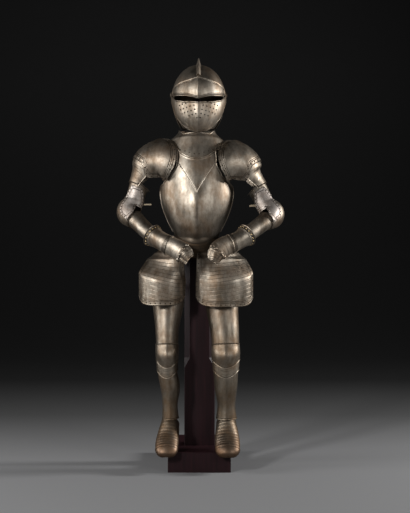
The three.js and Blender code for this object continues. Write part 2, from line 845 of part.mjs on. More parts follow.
const rightFoot = makeForm(
  [
    { x: -122, y: -78, z: 196, side: 38, front: 62, back: 26 },
    { x: -124, y: -104, z: 180, side: 41, front: 66, back: 26 },
    { x: -128, y: -138, z: 158, side: 45, front: 54, back: 26 },
    { x: -132, y: -172, z: 135, side: 49, front: 38, back: 26 },
    { x: -135, y: -205, z: 113, side: 50, front: 33, back: 26 },
    { x: -135, y: -232, z: 94, side: 47, front: 29, back: 26 },
    { x: -135, y: -250, z: 81, side: 37, front: 21, back: 20 },
    { x: -135, y: -258, z: 75, side: 22, front: 12, back: 11 },
    { x: -135, y: -261, z: 73, side: 0, front: 0, back: 0 },
  ],
  "side",
  1,
);
const leftFoot = makeForm(
  [
    { x: 114, y: -78, z: 196, side: 41, front: 64, back: 26 },
    { x: 114, y: -104, z: 180, side: 45, front: 70, back: 26 },
    { x: 115, y: -138, z: 158, side: 49, front: 58, back: 26 },
    { x: 116, y: -172, z: 135, side: 53, front: 40, back: 26 },
    { x: 117, y: -205, z: 112, side: 54, front: 34, back: 26 },
    { x: 117, y: -232, z: 93, side: 51, front: 30, back: 26 },
    { x: 117, y: -250, z: 80, side: 40, front: 22, back: 20 },
    { x: 117, y: -258, z: 74, side: 24, front: 12, back: 11 },
    { x: 117, y: -261, z: 72, side: 0, front: 0, back: 0 },
  ],
  "side",
  1,
);

function leg(name, form, foot, greaveDrop) {
  const steel = (part, geometry) => add(`${name}_${part}`, geometry, "steel");
  const cuisse = steel(
    "cuisse",
    plate(form, {
      rows: 5,
      cols: 12,
      start: (v) => -88 - 20 * smooth(v * 2 - 0.6),
      end: (v) => 88 + 20 * smooth(v * 2 - 0.6),
      from: flat(0.4),
      to: flat(4.3),
      lift: flat(-LEVEL),
    }),
  );
  // Poleyn: the knee cop, with a swelling over the kneecap, and the lames below it
  const kneecap = (v, deg) => 10 * Math.sin(Math.PI * v) ** 2 * bump(deg, 55);
  steel(
    "poleyn",
    plate(form, {
      rows: 5,
      cols: 14,
      start: flat(-7 * TURN),
      end: flat(7 * TURN),
      from: flat(4.0),
      to: (deg) => 5.1 + 0.55 * Math.cos(radians(deg)) ** 2,
      lift: kneecap,
    }),
  );
  steel(
    "poleyn_lames",
    plate(form, {
      rows: 4,
      cols: 14,
      start: flat(-7 * TURN),
      end: flat(7 * TURN),
      from: (deg) => 4.9 + 0.45 * Math.cos(radians(deg)) ** 2,
      to: (deg) => 5.8 + 0.5 * Math.cos(radians(deg)) ** 2,
      lift: flat(-LEVEL),
    }),
  );
  steel(
    "greave",
    plate(form, {
      rows: 4,
      cols: 20,
      around: true,
      start: flat(0),
      end: flat(360),
      from: flat(5.6),
      to: flat(8.9),
      lift: flat(-2 * LEVEL - greaveDrop),
    }),
  );
  steel(
    "sabaton",
    plate(foot, {
      rows: 5,
      cols: 12,
      start: flat(-6 * TURN),
      end: flat(6 * TURN),
      from: (deg) => 0.9 + 0.5 * Math.cos(radians(deg)),
      to: flat(5.05),
      lift: flat(-LEVEL),
    }),
  );
  steel(
    "toe_cap",
    plate(foot, {
      rows: 5,
      cols: 14,
      start: flat(-7 * TURN),
      end: flat(7 * TURN),
      from: flat(4.85),
      to: flat(8),
      lift: flat(0),
    }),
  );
  return cuisse;
}
const rightCuisse = leg("right", rightLeg, rightFoot, 1.1);
const leftCuisse = leg("left", leftLeg, leftFoot, 0.3);

// Tassets: from the lower edge of the fauld down over each thigh
function tasset(name, size) {
  const rows = 8;
  const cols = 10;
  const place = (i, j, depth) => {
    const v = i / rows;
    const u = j / cols;
    const hipDeg = mix(size.hipInner, size.hipOuter, u);
    const top = torso.point(torso.seek(mix(912, 884, clamp01(v * 5))), hipDeg, SHEET - 0.25 - depth);
    const deg = mix(size.inner, size.outer, u);
    const reachOut = size.half - depth;
    const low = new THREE.Vector3(
      size.x + reachOut * Math.sin(radians(deg)),
      size.y - (size.deep - depth) * Math.cos(radians(deg)),
      0,
    );
    const z = mix(mix(912, 884, clamp01(v * 5)), size.low + size.rise * (2 * u - 1) ** 4, clamp01(v * 1.25 - 0.25));
    const blend = smooth((v - mix(0.15, 0.05, u)) / mix(0.55, 0.48, u));
    return new THREE.Vector3(mix(top.x, low.x, blend), mix(top.y, low.y, blend), z);
  };
  const outer = (i, j) => place(i, j, 0);
  const inner = (i, j) => place(i, j, SHEET);
  return add(name, shell(rows, cols, false, outer, inner), "steel");
}
tasset("right_tasset", {
  hipInner: -15,
  hipOuter: -84,
  inner: 70,
  outer: -80,
  x: -156,
  y: -100,
  half: 101,
  deep: 82,
  low: 690,
  rise: 40,
});
tasset("left_tasset", {
  hipInner: 0,
  hipOuter: 84,
  inner: -72,
  outer: 80,
  x: 104,
  y: -100,
  half: 124,
  deep: 84,
  low: 684,
  rise: 40,
});

// Stand: base block, chamfered post, yoke under the shoulders, head peg and hip bar
const block = new THREE.BoxGeometry(BLOCK_WIDE, BLOCK_DEEP, BLOCK_HIGH);
block.translate(0, 0, BLOCK_HIGH / 2);
add("stand_base", block, "wood");

function post() {
  const mid = (POST_FRONT_Y + POST_BACK_Y) / 2;
  const deep = POST_BACK_Y - POST_FRONT_Y;
  const section = (cut) => {
    const w = POST_WIDE / 2;
    const d = deep / 2;
    return [
      [w - cut, -d],
      [w, -d + cut],
      [w, d - cut],
      [w - cut, d],
      [-w + cut, d],
      [-w, d - cut],
      [-w, -d + cut],
      [-w + cut, -d],
    ];
  };
  const levels = [
    { z: BLOCK_HIGH + CLEAR, cut: 3 },
    { z: POST_CHAMFER_START_Z, cut: 3 },
    { z: POST_CHAMFER_START_Z + 40, cut: POST_CHAMFER },
    { z: POST_TOP_Z, cut: POST_CHAMFER },
  ];
  const positions = [];
  const index = [];
  levels.forEach((level) => section(level.cut).forEach(([x, y]) => positions.push(x, y + mid, level.z)));
  for (let i = 0; i < levels.length - 1; i += 1) {
    for (let k = 0; k < 8; k += 1) {
      const a = 8 * i + k;
      const b = 8 * i + ((k + 1) % 8);
      index.push(a, b, b + 8, a, b + 8, a + 8);
    }
  }
  const top = 8 * (levels.length - 1);
  for (let k = 1; k < 7; k += 1) {
    index.push(0, k + 1, k);
    index.push(top, top + k, top + k + 1);
  }
  return outward(positions, index);
}
add("stand_post", post(), "wood");

const find = (name) => suit.getObjectByName(name).geometry;
function knob(centre, names) {
  const room = Math.min(...names.map((name) => reach(centre, find(name))));
  return toManifold(ball(centre, room - CLEAR));
}
function yoke() {
  const y = -16;
  const z = POST_TOP_Z + CLEAR + YOKE_RADIUS;
  const right = rightArm.point(3.0, 90, -24);
  const left = leftArm.point(3.0, 90, -24);
  const middle = new THREE.Vector3(0, y, z);
  const rightTurn = new THREE.Vector3(-120, y, z);
  const leftTurn = new THREE.Vector3(96, y, z);
  let solid = toManifold(bar(rightTurn, leftTurn, YOKE_RADIUS, 8));
  solid = solid.add(toManifold(bar(rightTurn, right, YOKE_RADIUS * 0.8, 8)));
  solid = solid.add(toManifold(bar(leftTurn, left, YOKE_RADIUS * 0.8, 8)));
  solid = solid.add(toManifold(ball(rightTurn, YOKE_RADIUS)));
  solid = solid.add(toManifold(ball(leftTurn, YOKE_RADIUS)));
  solid = solid.add(knob(right, ["right_pauldron", "right_pauldron_lower_lames", "right_pauldron_upper_lames"]));
  solid = solid.add(knob(left, ["left_pauldron", "left_pauldron_lower_lames", "left_pauldron_upper_lames"]));
  [-92, 68].forEach((x) => {
    const up = new THREE.Vector3(x, -18, 1380);
    solid = solid.add(toManifold(bar(new THREE.Vector3(x, y, z), up, 9, 6)));
    solid = solid.add(knob(up, ["gorget_front", "gorget_back"]));
  });
  const neck = new THREE.Vector3(HELMET_X, -14, z);
  const crown = new THREE.Vector3(HELMET_X, -14, 1692);
  solid = solid.add(toManifold(bar(neck, crown, 15, 8)));
  solid = solid.add(knob(crown, ["helmet_skull"]));
  return fromManifold(solid);
}
add("stand_yoke", yoke(), "wood");

function hipBar() {
  const y = POST_BACK_Y + CLEAR + 9;
  const frontY = POST_FRONT_Y - 51;
  const z = 772;
  const right = new THREE.Vector3(-130, y, z);
  const left = new THREE.Vector3(96, y, z);
  let solid = toManifold(bar(right, left, 9, 8));
  [
    { at: right, name: "right_cuisse" },
    { at: left, name: "left_cuisse" },
  ].forEach(({ at, name }) => {
    const front = new THREE.Vector3(at.x, frontY, z);
    solid = solid.add(toManifold(bar(at, front, 9, 8)));
    solid = solid.add(knob(front, [name]));
  });
  return fromManifold(solid);
}
add("stand_hip_bar", hipBar(), "wood");

export default suit;
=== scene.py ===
import math

import bpy
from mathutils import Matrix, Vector


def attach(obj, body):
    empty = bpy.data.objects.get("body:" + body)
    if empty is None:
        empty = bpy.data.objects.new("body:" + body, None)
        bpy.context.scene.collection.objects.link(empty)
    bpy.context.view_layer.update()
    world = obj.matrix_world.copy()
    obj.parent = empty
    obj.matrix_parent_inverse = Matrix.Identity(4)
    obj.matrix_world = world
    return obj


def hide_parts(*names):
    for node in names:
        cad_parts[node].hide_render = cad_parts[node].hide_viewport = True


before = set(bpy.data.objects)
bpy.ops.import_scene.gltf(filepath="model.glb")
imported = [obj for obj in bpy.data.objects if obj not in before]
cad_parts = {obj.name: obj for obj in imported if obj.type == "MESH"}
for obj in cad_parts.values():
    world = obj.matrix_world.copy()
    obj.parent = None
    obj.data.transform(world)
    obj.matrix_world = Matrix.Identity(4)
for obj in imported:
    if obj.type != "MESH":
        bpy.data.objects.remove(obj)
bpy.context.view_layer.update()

# Camera: level, in front of the suit, 4.5 m from its middle
camera_data = bpy.data.cameras.new("camera")
camera = bpy.data.objects.new("camera", camera_data)
bpy.context.scene.collection.objects.link(camera)
bpy.context.scene.camera = camera
camera.location = (0.0235, -4.5, 0.895)
camera.rotation_euler = (math.radians(90), 0, 0)
camera_data.sensor_fit = "VERTICAL"
camera_data.sensor_height = 36
camera_data.lens = 72.6
camera_data.clip_end = 60

# Sizes in millimetres, the same as the solids
SHEET = 1.6
HEAVY = 2.2
LEVEL = 2.5
TURN = 18
RIVET = 3.1
TORSO_X = -12
HELMET_X = -4
HELMET_Y = -12
HELMET_Z = 1583
PIVOT_Z = 1595
FLUTES = 14
FULL_TURN = 6.283
SKULL_HALF = 115
SKULL_FRONT = 132
SKULL_BACK = 122
CROWN_HIGH = 141
CHIN_DEEP = 185
HOLE = 3.1
PIN_HOLE = 4.6
RIM_WIDE = 2.6
CREASE = 38

# Middle of the helmet in metres
HELMET_MIDDLE = (-0.004, -0.012, 1.58)

# Kept on points that no border line or lame line touches
NO_EDGE = 60.0
NO_LAME = 8.0


def mix(a, b, t):
    return a + (b - a) * t


def clamp(t):
    return min(1.0, max(0.0, t))


def smooth(t):
    t = clamp(t)
    return t * t * (3 - 2 * t)


def bump(x, width):
    return math.exp(-((x / width) ** 2))


def sin(deg):
    return math.sin(math.radians(deg))


def cos(deg):
    return math.cos(math.radians(deg))


def given(thing, *place):
    """A number, or what a function gives at this place."""
    return thing(*place) if callable(thing) else thing


def read(table, x):
    """Smooth curve through a short table of (place, value) pairs."""
    if x <= table[0][0]:
        return table[0][1]
    if x >= table[-1][0]:
        return table[-1][1]
    k = 0
    while x > table[k + 1][0]:
        k += 1
    t = (x - table[k][0]) / (table[k + 1][0] - table[k][0])
    return mix(table[k][1], table[k + 1][1], smooth(t) * 0.5 + t * 0.5)


def spline(rows, key, s):
    n = len(rows) - 1
    k = min(n - 1, max(0, math.floor(s)))
    t = s - k
    b = rows[k][key]
    c = rows[k + 1][key]
    a = rows[k - 1][key] if k > 0 else 2 * b - c
    d = rows[k + 2][key] if k + 2 <= n else 2 * c - b
    bend = (2 * a - 5 * b + 4 * c - d) * t * t + (3 * b - a - 3 * c + d) * t * t * t
    return 0.5 * (2 * b + (c - a) * t + bend)


class Form:
    """The body under the plates: stations with x, y, z, half width, front and back depth."""

    def __init__(self, rows, keep, hand=1):
        self.rows = rows
        self.keep = keep
        self.hand = hand

    def centre(self, s):
        return Vector([spline(self.rows, k, s) for k in range(3)])

    def frame(self, s):
        way = (self.centre(s + 0.02) - self.centre(s - 0.02)).normalized()
        if self.keep == "front":
            front = Vector((0, -1, 0))
            front = (front - way * front.dot(way)).normalized()
            side = way.cross(front) * self.hand
        else:
            side = Vector((1, 0, 0))
            side = (side - way * side.dot(way)).normalized()
            front = way.cross(side)
        return side, front

    def point(self, s, deg, lift):
        side, front = self.frame(s)
        ahead = cos(deg)
        deep = spline(self.rows, 4 if ahead >= 0 else 5, s) + lift
        wide = spline(self.rows, 3, s) + lift
        return self.centre(s) + side * (wide * sin(deg)) + front * (deep * ahead)

    def seek(self, z):
        low, high = 0, len(self.rows) - 1
        for _ in range(24):
            mid = (low + high) / 2
            if spline(self.rows, 2, mid) > z:
                low = mid
            else:
                high = mid
        return (low + high) / 2


# Stations of each form: x, y, z, half width, front, back
TORSO = Form(
    [
        (TORSO_X, y, z, side, front, back)
        for z, y, side, front, back in (
            (1446, -18, 78, 72, 66),
            (1428, -18, 84, 75, 69),
            (1408, -18, 104, 80, 76),
            (1390, -20, 122, 84, 82),
            (1362, -22, 138, 91, 90),
            (1320, -24, 152, 104, 98),
            (1268, -25, 159, 117, 103),
            (1210, -26, 159, 126, 106),
            (1151, -27, 158, 131, 105),
            (1096, -27, 145, 132, 100),
            (1041, -27, 123, 127, 92),
            (1003, -26, 104, 118, 84),
            (975, -25, 100, 112, 80),
            (950, -25, 122, 116, 90),
            (918, -25, 172, 132, 108),
            (884, -25, 202, 150, 124),
        )
    ],
    "front",
    -1,
)
RIGHT_ARM = Form(
    [
        (-62, -14, 1282, 112, 126, 104),
        (-105, -14, 1286, 117, 127, 106),
        (-150, -15, 1288, 119, 122, 104),
        (-195, -16, 1275, 108, 106, 94),
        (-228, -18, 1236, 84, 80, 76),
        (-259, -20, 1200, 53, 53, 54),
        (-274, -24, 1162, 45, 47, 48),
        (-284, -30, 1126, 47, 47, 47),
        (-296, -42, 1092, 47, 46, 47),
        (-284, -66, 1064, 45, 44, 44),
        (-262, -90, 1041, 41, 41, 41),
        (-234, -116, 1014, 39, 39, 39),
        (-205, -143, 989, 38, 37, 37),
        (-172, -168, 967, 38, 34, 34),
        (-139, -190, 949, 42, 31, 31),
        (-112, -205, 935, 45, 29, 27),
        (-85, -218, 920, 46, 28, 26),
        (-60, -230, 904, 43, 25, 24),
        (-44, -240, 886, 34, 17, 18),
    ],
    "front",
)
LEFT_ARM = Form(
    [
        (44, -14, 1276, 112, 126, 104),
        (87, -14, 1281, 117, 127, 106),
        (130, -15, 1282, 119, 122, 104),
        (172, -16, 1266, 108, 106, 94),
        (206, -18, 1224, 84, 80, 76),
        (247, -20, 1190, 53, 53, 54),
        (269, -24, 1152, 46, 47, 48),
        (284, -30, 1115, 47, 47, 47),
        (304, -42, 1082, 47, 46, 47),
        (294, -66, 1057, 45, 44, 44),
        (270, -90, 1038, 41, 41, 41),
        (238, -116, 1014, 39, 39, 39),
        (206, -142, 990, 38, 37, 37),
        (174, -166, 969, 38, 34, 34),
        (142, -188, 952, 42, 31, 31),
        (116, -201, 942, 45, 29, 27),
        (90, -213, 927, 46, 28, 26),
        (69, -224, 905, 42, 25, 24),
        (58, -232, 878, 32, 17, 18),
    ],
    "front",
    -1,
)
RIGHT_LEG = Form(
    [
        (-128, -60, 830, 76, 70, 66),
        (-131, -74, 760, 72, 66, 62),
        (-134, -88, 690, 68, 60, 60),
        (-137, -110, 590, 53, 53, 52),
        (-137, -124, 525, 49, 50, 48),
        (-136, -131, 465, 48, 50, 46),
        (-134, -132, 405, 47, 46, 48),
        (-123, -130, 340, 47, 44, 54),
        (-124, -128, 271, 38, 39, 44),
        (-122, -126, 205, 42, 44, 44),
    ],
    "side",
)
LEFT_LEG = Form(
    [
        (96, -60, 830, 78, 70, 66),
        (95, -74, 760, 76, 66, 62),
        (95, -88, 690, 72, 60, 60),
        (106, -110, 590, 64, 55, 54),
        (110, -124, 525, 60, 53, 52),
        (111, -131, 465, 60, 53, 48),
        (111, -132, 405, 57, 49, 50),
        (112, -130, 340, 53, 47, 55),
        (114, -128, 271, 43, 42, 46),
        (114, -126, 205, 50, 46, 46),
    ],
    "side",
)
RIGHT_FOOT = Form(
    [
        (-122, -78, 196, 38, 62, 26),
        (-124, -104, 180, 41, 66, 26),
        (-128, -138, 158, 45, 54, 26),
        (-132, -172, 135, 49, 38, 26),
        (-135, -205, 113, 50, 33, 26),
        (-135, -232, 94, 47, 29, 26),
        (-135, -250, 81, 37, 21, 20),
        (-135, -258, 75, 22, 12, 11),
        (-135, -261, 73, 0, 0, 0),
    ],
    "side",
)
LEFT_FOOT = Form(
    [
        (114, -78, 196, 41, 64, 26),
        (114, -104, 180, 45, 70, 26),
        (115, -138, 158, 49, 58, 26),
        (116, -172, 135, 53, 40, 26),
        (117, -205, 112, 54, 34, 26),
        (117, -232, 93, 51, 30, 26),
        (117, -250, 80, 40, 22, 20),
        (117, -258, 74, 24, 12, 11),
        (117, -261, 72, 0, 0, 0),
    ],
    "side",
)


def egg(drop, deg, lift):
    """Point of the helmet: drop is the angle down from the crown."""
    down = drop > 90
    ring = sin(drop)
    wide = (SKULL_HALF + lift) * (ring**1.12 if down else ring)
    front = (SKULL_FRONT + lift) * (ring**0.5 if down else ring)
    back = (SKULL_BACK + lift) * (ring**0.9 if down else ring)
    ahead = cos(deg)
    x = HELMET_X + wide * sin(deg)
    y = HELMET_Y - (front if ahead >= 0 else back) * ahead
    z = HELMET_Z + ((CHIN_DEEP if down else CROWN_HIGH) + lift) * cos(drop)
    return Vector((x, y, z))


def drop_at(z):
    """Angle down from the crown at which the helmet reaches this height."""
    rise = z - HELMET_Z
    reach = CROWN_HIGH if rise > 0 else CHIN_DEEP
    return math.degrees(math.acos(max(-1, min(1, rise / reach))))


# Materials and their nodes
def principled(name, rough, metal, colour=None):
    material = bpy.data.materials.new(name)
    material.use_nodes = True
    shader = material.node_tree.nodes["Principled BSDF"]
    shader.inputs["Metallic"].default_value = metal
    shader.inputs["Roughness"].default_value = rough
    if colour:
        shader.inputs["Base Color"].default_value = (*colour, 1)
    return material, material.node_tree, shader


def ramp_node(tree, source, stops):
    node = tree.nodes.new("ShaderNodeValToRGB")
    elements = node.color_ramp.elements
    while len(elements) < len(stops):
        elements.new(0.5)
    for element, (place, colour) in zip(elements, stops):
        element.position = place
        element.color = (*colour, 1)
    tree.links.new(source, node.inputs["Fac"])
    return node.outputs["Color"]


def place_node(tree):
    return tree.nodes.new("ShaderNodeTexCoord").outputs["Object"]


def parts_node(tree):
    node = tree.nodes.new("ShaderNodeSeparateXYZ")
    tree.links.new(place_node(tree), node.inputs["Vector"])
    return node


def noise_node(tree, scale, detail, rough=0.6, stretch=None):
    where = place_node(tree)
    if stretch:
        shape = tree.nodes.new("ShaderNodeMapping")
        shape.inputs["Scale"].default_value = stretch
        tree.links.new(where, shape.inputs["Vector"])
        where = shape.outputs["Vector"]
    node = tree.nodes.new("ShaderNodeTexNoise")
    node.inputs["Scale"].default_value = scale
    node.inputs["Detail"].default_value = detail
    node.inputs["Roughness"].default_value = rough
    tree.links.new(where, node.inputs["Vector"])
    return node.outputs["Fac"]


def relief_node(tree, shader, height, strength, distance):
    node = tree.nodes.new("ShaderNodeBump")
    node.inputs["Strength"].default_value = strength
    node.inputs["Distance"].default_value = distance
    tree.links.new(height, node.inputs["Height"])
    tree.links.new(node.outputs["Normal"], shader.inputs["Normal"])


def math_node(tree, kind, a, b=None, c=None):
    node = tree.nodes.new("ShaderNodeMath")
    node.operation = kind
    for k, value in enumerate((a, b, c)):
        if value is None:
            continue
        if isinstance(value, (int, float)):
            node.inputs[k].default_value = value
        else:
            tree.links.new(value, node.inputs[k])
    return node.outputs[0]


def mixed(tree, factor, one, two):
    node = tree.nodes.new("ShaderNodeMix")
    node.data_type = "RGBA"
    tree.links.new(factor, node.inputs["Factor"])
    for socket, value in ((6, one), (7, two)):
        if isinstance(value, tuple):
            node.inputs[socket].default_value = (*value, 1)
        else:
            tree.links.new(value, node.inputs[socket])
    return node.outputs[2]


def deepest(tree, total, cut):
    cut = math_node(tree, "MAXIMUM", cut, 0.0)
    return cut if total is None else math_node(tree, "MAXIMUM", total, cut)


def incised(tree, lines, every, groove):
    """Depth of the cut lines: at these distances in from the edge, and at every step down the plate."""
    edge = tree.nodes.new("ShaderNodeAttribute")
    edge.attribute_name = "edge_mm"
    total = None
    for place in lines:
        away = math_node(tree, "SUBTRACT", edge.outputs["Fac"], place)
        away = math_node(tree, "DIVIDE", math_node(tree, "ABSOLUTE", away), groove)
        total = deepest(tree, total, math_node(tree, "SUBTRACT", 1.0, away))
    if every:
        lame = tree.nodes.new("ShaderNodeAttribute")
        lame.attribute_name = "run_mm"
        part = math_node(tree, "FRACT", math_node(tree, "DIVIDE", lame.outputs["Fac"], every))
        part = math_node(tree, "MULTIPLY", part, every / LAME_GROOVE)
        cut = math_node(tree, "MAXIMUM", math_node(tree, "SUBTRACT", 1.0, part), 0.0)
        cut = math_node(tree, "MULTIPLY", cut, 0.8)
        border = max(lines) + 1.5 if lines else 0
        inside = math_node(tree, "GREATER_THAN", edge.outputs["Fac"], border)
        total = deepest(tree, total, math_node(tree, "MULTIPLY", cut, inside))
    return total


def steel(name, light, dark, stain, rough=0.43, lines=(), every=0, groove=2.0, foot=None):
    """Aged plate: mottled tone, brown stain that grows toward the feet, incised lines darkened with
    painted shade.

    Below the height foot, in metres, a painted shadow darkens it."""
    material, tree, shader = principled(name, rough, 1.0)
    streaks = noise_node(tree, 11, 8, 0.68, (1.6, 1.6, 0.5))
    colour = ramp_node(tree, streaks, [(0.38, dark), (0.62, light)])
    level = parts_node(tree).outputs["Z"]
    spots = ramp_node(tree, noise_node(tree, 10, 8, 0.74), [(0.43, NONE), (0.62, FULL)])
    low = math_node(tree, "MAXIMUM", math_node(tree, "MULTIPLY_ADD", level, -0.8, 1.15), 0.55)
    amount = math_node(tree, "MINIMUM", math_node(tree, "MULTIPLY", spots, low), 0.9)
    colour = mixed(tree, amount, colour, stain)
    shade = math_node(tree, "MAXIMUM", math_node(tree, "MULTIPLY_ADD", level, -0.85, 0.72), 0.0)
    colour = mixed(tree, shade, colour, SHADE)
    toe = math_node(tree, "MAXIMUM", math_node(tree, "MULTIPLY_ADD", level, -5.0, 0.95), 0.0)
    colour = mixed(tree, math_node(tree, "MINIMUM", toe, 0.75), colour, RUST)
    fine = ramp_node(tree, noise_node(tree, 75, 4), [(0.55, NONE), (0.75, FULL)])
    colour = mixed(tree, math_node(tree, "MULTIPLY", fine, 0.35), colour, SOIL)
    # Painted shadow: the plate darkens below the height foot
    if foot:
        painted_shadow_mask = math_node(tree, "MULTIPLY", math_node(tree, "SUBTRACT", foot, level), 22.0)
        painted_shadow_mask = math_node(tree, "MINIMUM", math_node(tree, "MAXIMUM", painted_shadow_mask, 0.0), 0.85)
        colour = mixed(tree, painted_shadow_mask, colour, PAINTED_SHADOW)
    pits = math_node(tree, "MULTIPLY", noise_node(tree, 150, 3), 0.12)
    height = math_node(tree, "ADD", pits, noise_node(tree, 22, 2))
    total = incised(tree, lines, every, groove)
    if total is not None:
        # Painted shade: the cut lines, the lame steps and the line along each plate's edge are darkened
        colour = mixed(tree, math_node(tree, "MULTIPLY", total, 0.9), colour, GROOVE)
        height = math_node(tree, "SUBTRACT", height, total)
    tree.links.new(colour, shader.inputs["Base Color"])
    duller = math_node(tree, "MULTIPLY_ADD", amount, 0.16, rough)
    tree.links.new(duller, shader.inputs["Roughness"])
    relief_node(tree, shader, height, 0.55, 0.0013)
    return material


def wood():
    material, tree, shader = principled("stained_wood", 0.5, 0.0)
    shader.inputs["Specular IOR Level"].default_value = 0.2
    grain = noise_node(tree, 3.0, 6, 0.5, (26, 26, 1.6))
    colour = ramp_node(tree, grain, [(0.3, WOOD_DARK), (0.7, WOOD_LIGHT)])
    tree.links.new(colour, shader.inputs["Base Color"])
    relief_node(tree, shader, grain, 0.12, 0.001)
    return material


LAME_GROOVE = 2.6
NONE = (0, 0, 0)
FULL = (1, 1, 1)
LIGHT = (0.375, 0.33, 0.272)
DARK = (0.125, 0.104, 0.08)
STAIN = (0.145, 0.084, 0.043)
SHADE = (0.10, 0.075, 0.05)
RUST = (0.13, 0.066, 0.038)
SOIL = (0.06, 0.045, 0.03)
PAINTED_SHADOW = (0.05, 0.04, 0.03)
GROOVE = (0.018, 0.013, 0.009)
WOOD_DARK = (0.008, 0.0022, 0.003)
WOOD_LIGHT = (0.018, 0.0045, 0.006)
STEEL = steel("aged_steel", LIGHT, DARK, STAIN)
# Lighter steel: a painted highlight along the raised V of the chest
PAINTED_HIGHLIGHT = steel("painted_highlight_steel", (0.62, 0.55, 0.46), (0.44, 0.38, 0.31), STAIN, 0.4)
# The breastplate's lower end carries a painted shadow below 1.004 m
CHEST = steel("chest_steel_painted_shadow", LIGHT, DARK, STAIN, foot=1.004)
BORDER = steel("bordered_steel", LIGHT, DARK, STAIN, lines=(1.0, 17.0, 23.5), groove=3.2)
LAMED = steel("lamed_steel", LIGHT, DARK, STAIN, lines=(1.0, 15.5, 21.0), every=17.0)
# Fauld steel: its much darker tones are painted shade, the shadow of the hands
HOOPED = steel(
    "hooped_steel_painted_shade", (0.10, 0.085, 0.066), (0.055, 0.045, 0.034), STAIN, 0.5, lines=(4.0,), every=13.0
)
BROWED = steel("brow_steel", LIGHT, DARK, STAIN, lines=(5.0, 9.5), groove=1.6)
EDGED = steel("edged_steel", LIGHT, DARK, STAIN, lines=(4.5,))
CUFFED = steel("cuff_steel", LIGHT, DARK, STAIN, lines=(4.0, 9.0, 14.0), groove=3.6)
# Elbow wings: a lighter copy of the steel, painted light where the wings catch the lamps
WINGED = steel(
    "wing_steel_painted_light", (0.44, 0.40, 0.365), (0.24, 0.21, 0.19), STAIN, 0.5, lines=(0.6, 12.0), groove=2.4
)
# Near-black steel: painted shade for the bevor behind the visor
UNLIT = steel("painted_shade_steel", (0.05, 0.045, 0.04), (0.02, 0.018, 0.016), (0.02, 0.015, 0.01), 0.7)
DARK_STEEL = steel("rivet_steel", (0.075, 0.06, 0.045), (0.04, 0.032, 0.024), (0.03, 0.02, 0.015), 0.4)
BRASSY = steel("latten_steel", (0.62, 0.47, 0.26), (0.46, 0.34, 0.18), (0.30, 0.20, 0.10), 0.38)
PALE_LEATHER = principled("pale_leather", 0.65, 0.0, (0.26, 0.20, 0.13))[0]
WOOD = wood()


def piece(name, points, faces, material, body="armour", nodes=(), attributes=None):
    mesh = bpy.data.meshes.new(name)
    mesh.from_pydata([p * 0.001 for p in points], [], faces)
    mesh.validate()
    mesh.polygons.foreach_set("use_smooth", [True] * len(mesh.polygons))
    for key, values in (attributes or {}).items():
        layer = mesh.attributes.new(key, "FLOAT", "POINT")
        layer.data.foreach_set("value", values)
    mesh.set_sharp_from_angle(angle=math.radians(CREASE))
    made = bpy.data.objects.new(name, mesh)
    mesh.materials.append(material)
    bpy.context.scene.collection.objects.link(made)
    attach(made, body)
    if nodes:
        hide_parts(*nodes)
    return made


def plain(points):
    return {"edge_mm": [NO_EDGE] * len(points), "run_mm": [NO_LAME] * len(points)}


def face_out(mesh, middle=(0, 0, 0)):
    if sum(p.area * (p.center - Vector(middle)).dot(p.normal) for p in mesh.polygons) < 0:
        mesh.flip_normals()


def plate(name, rows, cols, around, place, sheet, material, nodes=(), body="armour", rim=1.0):
    """Shell from place(v, u, depth) with a turned rim.

    Each point keeps its distance from the edges and its run down the plate."""
    wide = cols if around else cols + 1
    out, back = [
        [[place(i / rows, j / cols, depth) for j in range(wide)] for i in range(rows + 1)]
        for depth in (0.0, sheet)
    ]
    down = [[0.0] * wide for _ in range(rows + 1)]
    over = [[0.0] * wide for _ in range(rows + 1)]
    for i in range(rows + 1):
        for j in range(wide):
            if i:
                down[i][j] = down[i - 1][j] + (out[i][j] - out[i - 1][j]).length
            if j:
                over[i][j] = over[i][j - 1] + (out[i][j] - out[i][j - 1]).length
    edge = []
    run = []
    points = []
    for i in range(rows + 1):
        for j in range(wide):
            away = min(down[i][j], down[rows][j] - down[i][j])
            if not around:
                away = min(away, over[i][j], over[i][wide - 1] - over[i][j])
            edge.append(away)
            run.append(down[i][j])
            through = out[i][j] - back[i][j]
            normal = through.normalized() if through.length > 1e-6 else Vector()
            points.append(out[i][j] + normal * (rim * bump(away, RIM_WIDE)))
    first = len(points)
    for row in back:
        points += row
    edge += [NO_EDGE] * first
    run += [NO_LAME] * first
    faces = []

    def at(i, j):
        return i * wide + j % wide

    for i in range(rows):
        for j in range(cols):
            a, b, c, d = at(i, j), at(i + 1, j), at(i + 1, j + 1), at(i, j + 1)
            faces.append((a, b, c, d))
            faces.append((first + d, first + c, first + b, first + a))
    for j in range(cols):
        faces.append((at(0, j), at(0, j + 1), first + at(0, j + 1), first + at(0, j)))
        faces.append((at(rows, j + 1), at(rows, j), first + at(rows, j), first + at(rows, j + 1)))
    if not around:
        for i in range(rows):
            faces.append((at(i + 1, 0), at(i, 0), first + at(i, 0), first + at(i + 1, 0)))
            faces.append((at(i, cols), at(i + 1, cols), first + at(i + 1, cols), first + at(i, cols)))
    made = piece(name, points, faces, material, body, nodes, {"edge_mm": edge, "run_mm": run})
    face_out(made.data)
    return made


def window(form, start, end, first, last, lift):
    """place(v, u, depth) of a window of a form."""

    def place(v, u, depth):
        deg = mix(given(start, v), given(end, v), u)
        s = mix(given(first, deg), given(last, deg), v)
        return form.point(s, deg, given(lift, v, deg) - depth)

    return place


def normal_at(place, v, u):
    across = place(v, min(1, u + 0.01), 0) - place(v, max(0, u - 0.01), 0)
    along = place(min(1, v + 0.01), u, 0) - place(max(0, v - 0.01), u, 0)
    normal = across.cross(along).normalized()
    if normal.dot(place(v, u, 0) - place(v, u, 1.0)) < 0:
        normal = -normal
    return normal


